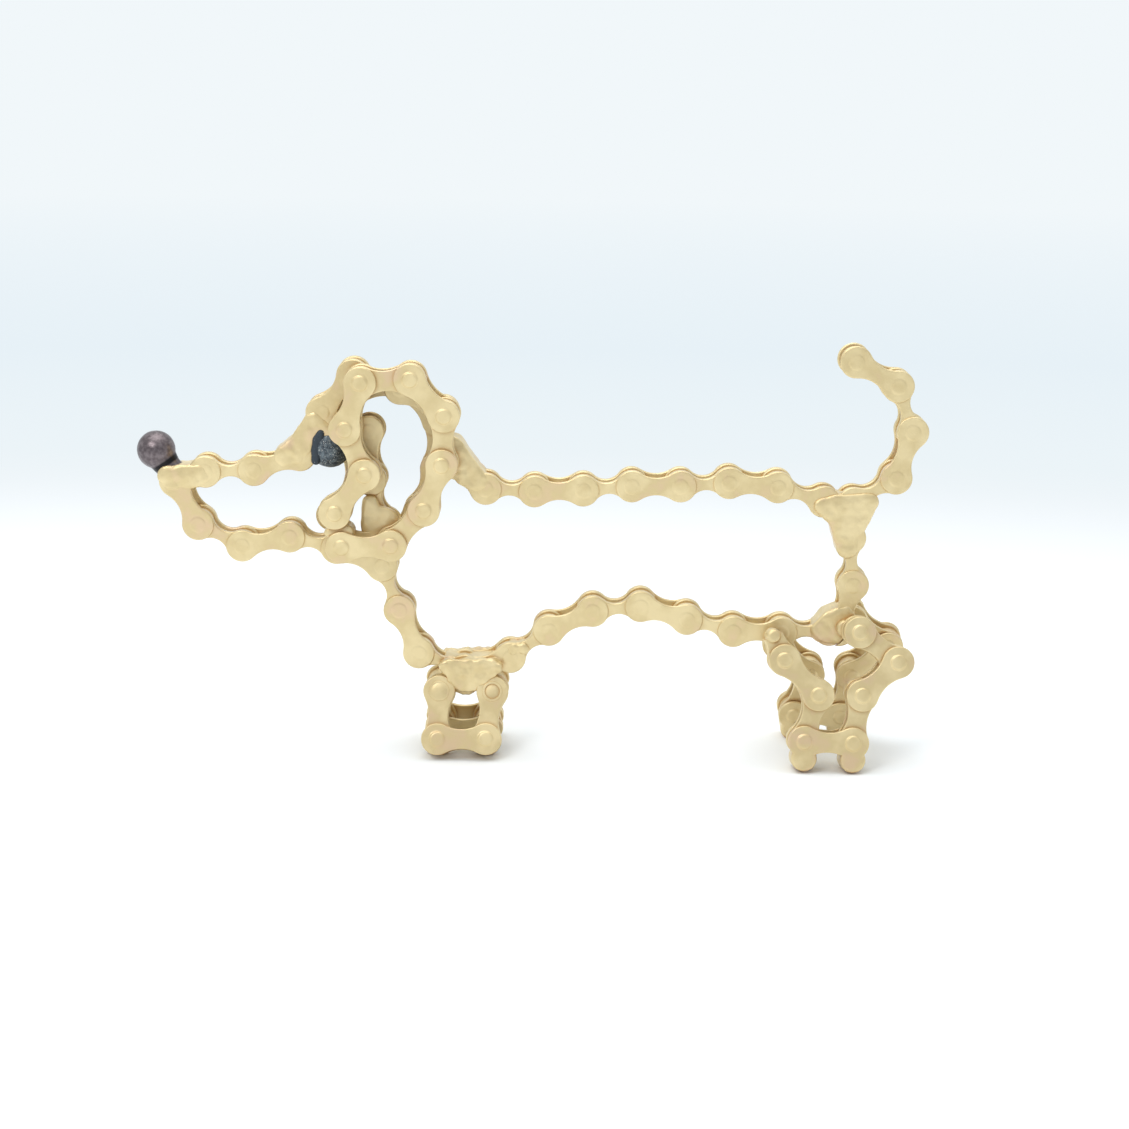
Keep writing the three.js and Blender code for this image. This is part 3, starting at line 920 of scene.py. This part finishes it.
# %% [markdown]
# Where one length meets another the maker laid beads of weld, which the paint has covered since. A bead is
# a row of drops that ran into each other, and no two are alike. So each bead starts as a few short bars
# with domed ends. Every three neighbours are wrapped in the tightest skin round them, and a voxel remesh
# melts the wraps into one. Then noise pushes the skin in and out and it is relaxed, which leaves the soft,
# uneven fill that weld really has.

# %% Beads of weld
VOXEL = 0.34 * MM
RIPPLE_SIZE = 1.9 * MM
RIPPLE_DEPTH = 0.20 * MM
RELAX_ROUNDS = 6


def melted(name, shells, voxel=VOXEL, ripple=RIPPLE_DEPTH):
    """One lumpy skin round overlapping shells."""
    made = mesh_object(name, joined(shells))
    step = made.modifiers.new("melt", "REMESH")
    step.mode = "VOXEL"
    step.voxel_size = voxel
    keep_result(made)
    for vertex in made.data.vertices:
        push = noise.noise(vertex.co / RIPPLE_SIZE) + 0.4 * noise.noise(vertex.co / (0.4 * RIPPLE_SIZE))
        vertex.co += vertex.normal * push * ripple
    relax = made.modifiers.new("relax", "SMOOTH")
    relax.iterations = RELAX_ROUNDS
    keep_result(made)
    return made


def wrapped(shells):
    """The tightest skin round a few neighbouring drops, so that they run into one smooth stroke of weld."""
    build = bmesh.new()
    for points, _ in shells:
        for point in points:
            build.verts.new(point)
    bmesh.ops.convex_hull(build, input=build.verts[:])
    for corner in [v for v in build.verts if not v.link_faces]:
        build.verts.remove(corner)
    build.verts.index_update()
    skin = [tuple(v.co) for v in build.verts], [[v.index for v in face.verts] for face in build.faces]
    build.free()
    return skin


BEADS = {
    "jaw_tip_weld": (
        "underline", 16, [(-0.35, 0.17, 0.57), (0.21, 0.31, 0.74), (0.89, 0.2, 0.69), (1.5, 0.42, 0.7)]
    ),
    "nose_weld": ("underline", 16, [(-0.45, 0.36, 0.66), (-0.15, 0.15, 0.78)]),
    "brow_weld": (
        "snout",
        1,
        [
            (1.85, 1.5, 0.42), (1.28, 1.55, 0.48), (0.91, 2.2, 0.6), (0.55, 1.49, 0.69), (0.22, 0.74, 0.74),
            (-0.21, 0.23, 0.78), (-0.96, -0.1, 0.68),
        ],
    ),
    "nape_weld": (
        "back", 0, [(0.32, 0.67, 0.98), (0.81, -0.01, 0.92), (1.38, -0.7, 0.84), (2.0, -1.19, 0.72)]
    ),
    "throat_weld": (
        "inner_head",
        2,
        [
            (-0.77, 1.12, 0.5), (-0.46, 0.37, 0.69), (-0.71, -0.34, 0.63), (0.04, -0.39, 0.94),
            (0.6, -0.95, 0.63),
        ],
    ),
    "tail_root_weld": (
        "tail",
        0,
        [
            (-1.98, -0.2, 0.5), (-1.04, -0.1, 0.66), (-0.7, -1.0, 0.8), (-0.05, -0.12, 0.72),
            (0.95, 0.1, 0.6), (0.35, -0.95, 0.74), (-0.35, -1.98, 0.84), (-0.7, -1.0, 0.8),
            (-0.27, -2.8, 0.7),
        ],
    ),
    "rump_foot_weld": (
        "underline",
        0,
        [
            (0.97, 1.15, 0.55), (0.11, 0.61, 0.74), (0.63, 0.23, 0.67), (-0.49, -0.05, 0.72),
            (0.41, -0.42, 0.44),
        ],
    ),
    "chest_top_weld": (
        "underline",
        8,
        [(-0.9, 0.4, 0.5), (-0.3, 0.1, 0.66), (0.4, -0.05, 0.7), (1.2, 0.35, 0.5), (2.0, 0.5, 0.45)],
    ),
    "belly_weld": ("underline", 7, [(0.2, 0.55, 0.42), (0.8, 0.6, 0.4)]),
}
BEAD_PROUD = 0.36 * MM


def bead_shells(run, place, drops, low, high):
    """Drops beside a pin: each a place along and up, and a size, as shares of a plate's end radius."""
    shells = []
    for along, up, size in drops:
        spot = PINS[run][place] + Vector((along, up)) * PLATE_RADIUS
        shells.append(drop_at(spot, size * PLATE_RADIUS, low, high))
    if len(shells) < 3:
        return shells
    return [wrapped(shells[i:i + 3]) for i in range(len(shells) - 2)]


for name, (run, place, drops) in BEADS.items():
    reach = CHAIN_HALF + BEAD_PROUD
    made = melted(name, bead_shells(run, place, drops, -reach, reach))
    finish_piece(made, GOLD)
    print(name, "faces:", len(made.data.polygons))

# %% Welds that lie across the figure or to one side of it
CHEST_DROPS = [(-0.45, -0.35, 0.56), (0.3, -0.45, 0.56), (-0.2, -0.95, 0.5), (0.3, -1.05, 0.5)]
CHEST_RIPPLE = 0.6 * MM
CHEST_REACH = 5.6 * MM
CRINKLED = ("front_leg_top_weld",)
BOTH = ("left", "right")
SIDE_BEADS = {
    "hind_front_top_weld": (
        BOTH, "underline", 1, 3.5 * MM, 6.4 * MM, [(-0.6, -0.4, 0.5), (-0.35, -0.8, 0.5)]
    ),
    "hind_rear_top_weld": (BOTH, "underline", 0, 3.5 * MM, 6.4 * MM, [(0.9, 0.3, 0.55), (1.4, 0.0, 0.55)]),
    "front_leg_top_weld": (
        BOTH,
        "underline",
        8,
        3.2 * MM,
        6.8 * MM,
        [
            (-1.02, 0.37, 0.5), (-0.39, 0.12, 0.69), (-0.2, -0.66, 0.6), (0.42, 0.13, 0.76),
            (0.56, -0.71, 0.55), (1.24, 0.28, 0.66), (1.99, 0.36, 0.45),
        ],
    ),
    "throat_front_weld": (
        ("left",),
        "inner_head",
        2,
        3.0 * MM,
        5.6 * MM,
        [
            (-0.86, 1.53, 0.5), (-0.74, 0.84, 0.63), (-0.68, 0.02, 0.76), (0.13, 0.41, 0.82),
            (0.44, -0.4, 0.82),
        ],
    ),
    "ear_root_weld": (
        ("left",), "ear", 0, 3.4 * MM, 11.0 * MM, [(-0.8, 0.86, 0.3), (-0.28, 0.74, 0.42), (0.27, 0.88, 0.46)]
    ),
    "nape_tack": (BOTH, "back", 0, 3.5 * MM, 4.9 * MM, [(0.1, 0.5, 0.40)]),
    "crown_tack": (BOTH, "crown", 1, 3.5 * MM, 4.9 * MM, [(0.2, -0.3, 0.40)]),
    "poll_tack": (BOTH, "crown", 2, 3.5 * MM, 4.9 * MM, [(0.6, 0.4, 0.40)]),
    "jaw_tack": (BOTH, "underline", 12, 3.5 * MM, 4.9 * MM, [(0.3, 0.3, 0.40)]),
}

chest_shells = bead_shells("underline", 8, CHEST_DROPS, -CHEST_REACH, CHEST_REACH)
chest = melted("chest_weld_painted", chest_shells, ripple=CHEST_RIPPLE)
finish_piece(chest, GOLD, stands_for=["chest_weld"])
for name, (sides, run, place, near, far, drops) in SIDE_BEADS.items():
    for side in sides:
        low, high = (-far, -near) if side == "left" else (near, far)
        ripple = CHEST_RIPPLE if name in CRINKLED else RIPPLE_DEPTH
        bead = melted(f"{side}_{name}", bead_shells(run, place, drops, low, high), ripple=ripple)
        finish_piece(bead, GOLD)

# %% [markdown]
# The nose is a steel ball on a stub of weld that flares into the jaw. Ball and stub are melted together
# with a fine voxel size, which leaves the small groove between them. The eye is the same kind of ball,
# squeezed in under the brow, so the links that it is welded to are cut out of it.

# %% The nose and the eye
BALL_SIDES = 40
FINE_VOXEL = 0.22 * MM
NOSE_RIPPLE = 0.03 * MM
EYE_RIPPLE = 0.10 * MM
EYE_SPECKS = 0.66
WELD_SPECKS = 0.72
NECK_SHARES = [(0.80, 0.45), (0.70, 0.98), (0.68, 1.12), (0.74, 1.35), (0.76, 1.7)]
EYE_SHARES = (-4.85, 6.38)
SCORCH_DROPS = [(0.99, -0.29, 0.28), (1.0, 0.34, 0.28), (1.07, 0.96, 0.28), (1.32, 1.41, 0.26)]
SCORCH_REACH = 4.8 * MM


def ball(middle_point, radius):
    """Rings from pole to pole along Y, with a small flat at each pole that the remesh melts away."""
    turns = [pi * (i + 0.5) / BALL_SIDES for i in range(BALL_SIDES)]
    profile = [(radius * sin(turn), middle_point.y - radius * cos(turn)) for turn in turns]
    return turned(profile, Vector((middle_point.x, middle_point.z)))


def neck(start, towards, radius):
    """A flaring stub from the ball to the jaw; each pair of shares is its width and how far along."""
    along = (towards - start).normalized()
    across = Vector((0, 1, 0))
    other = along.cross(across)
    turns = [2 * pi * i / TURNED_SIDES for i in range(TURNED_SIDES)]
    rings = []
    for width, reach in NECK_SHARES:
        middle_point = start + along * reach * radius
        points = [middle_point + (across * cos(t) + other * sin(t)) * width * radius for t in turns]
        rings.append([tuple(point) for point in points])
    return shell_of(rings)


low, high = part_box("nose_ball")
nose_radius = (high.x - low.x) / 2
nose_middle = Vector((low.x + nose_radius, 0, high.z - nose_radius))
jaw_tip = Vector((PINS["underline"][16].x, 0, PINS["underline"][16].y))
nose_shells = [ball(nose_middle, nose_radius), neck(nose_middle, jaw_tip, nose_radius)]
nose = melted("nose_ball_burnt", nose_shells, FINE_VOXEL, NOSE_RIPPLE)
finish_piece(nose, nose_steel(nose_middle), stands_for=["nose_ball"])

low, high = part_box("eye_ball")
eye_radius = -low.y
eye_middle = Vector((EYE_SHARES[0] * PITCH + FIGURE_X, 0, EYE_SHARES[1] * PITCH))
eye = melted("eye_ball_blued", [ball(eye_middle, eye_radius)], FINE_VOXEL, EYE_RIPPLE)
for run, link in (("crown", 3), ("snout", 0), ("snout", 1)):
    combine(eye, room(run, link), "DIFFERENCE")
for shift in (Vector((0, EAR_MIDDLE, 0)), Vector((0, EAR_MIDDLE, 0)) + RIGHT_EAR_SHIFT):
    for link in (6, 7, 8):
        combine(eye, room("ear", link, LIMB_WAISTS), "DIFFERENCE", Matrix.Translation(shift))
keep_largest(eye)
finish_piece(eye, eye_steel("eye_steel_skin", EYE_PALE, EYE_SPECKS), stands_for=["eye_ball"])
scorch = melted("eye_weld_burnt", bead_shells("snout", 1, SCORCH_DROPS, -SCORCH_REACH, SCORCH_REACH))
finish_piece(scorch, eye_steel("scorched_weld_skin", EYE_DARK, WELD_SPECKS))
print("nose radius in mm:", round(nose_radius / MM, 2), "eye faces:", len(eye.data.polygons))

# %% The finished model's size against the solid one
for name in ("snout_chain", "tail_chain", "left_front_leg", "left_hind_leg_front", "left_ear_outer_link_5"):
    low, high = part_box(name)
    corners = [Vector(v.co) for v in bpy.data.objects[name + "_painted"].data.vertices]
    mine = [[f(v[i] for v in corners) for i in range(3)] for f in (min, max)]
    gaps = [[round((a - b) / MM, 2) for a, b in zip(m, c)] for m, c in zip(mine, (low, high))]
    print(name, "differs in mm:", gaps)
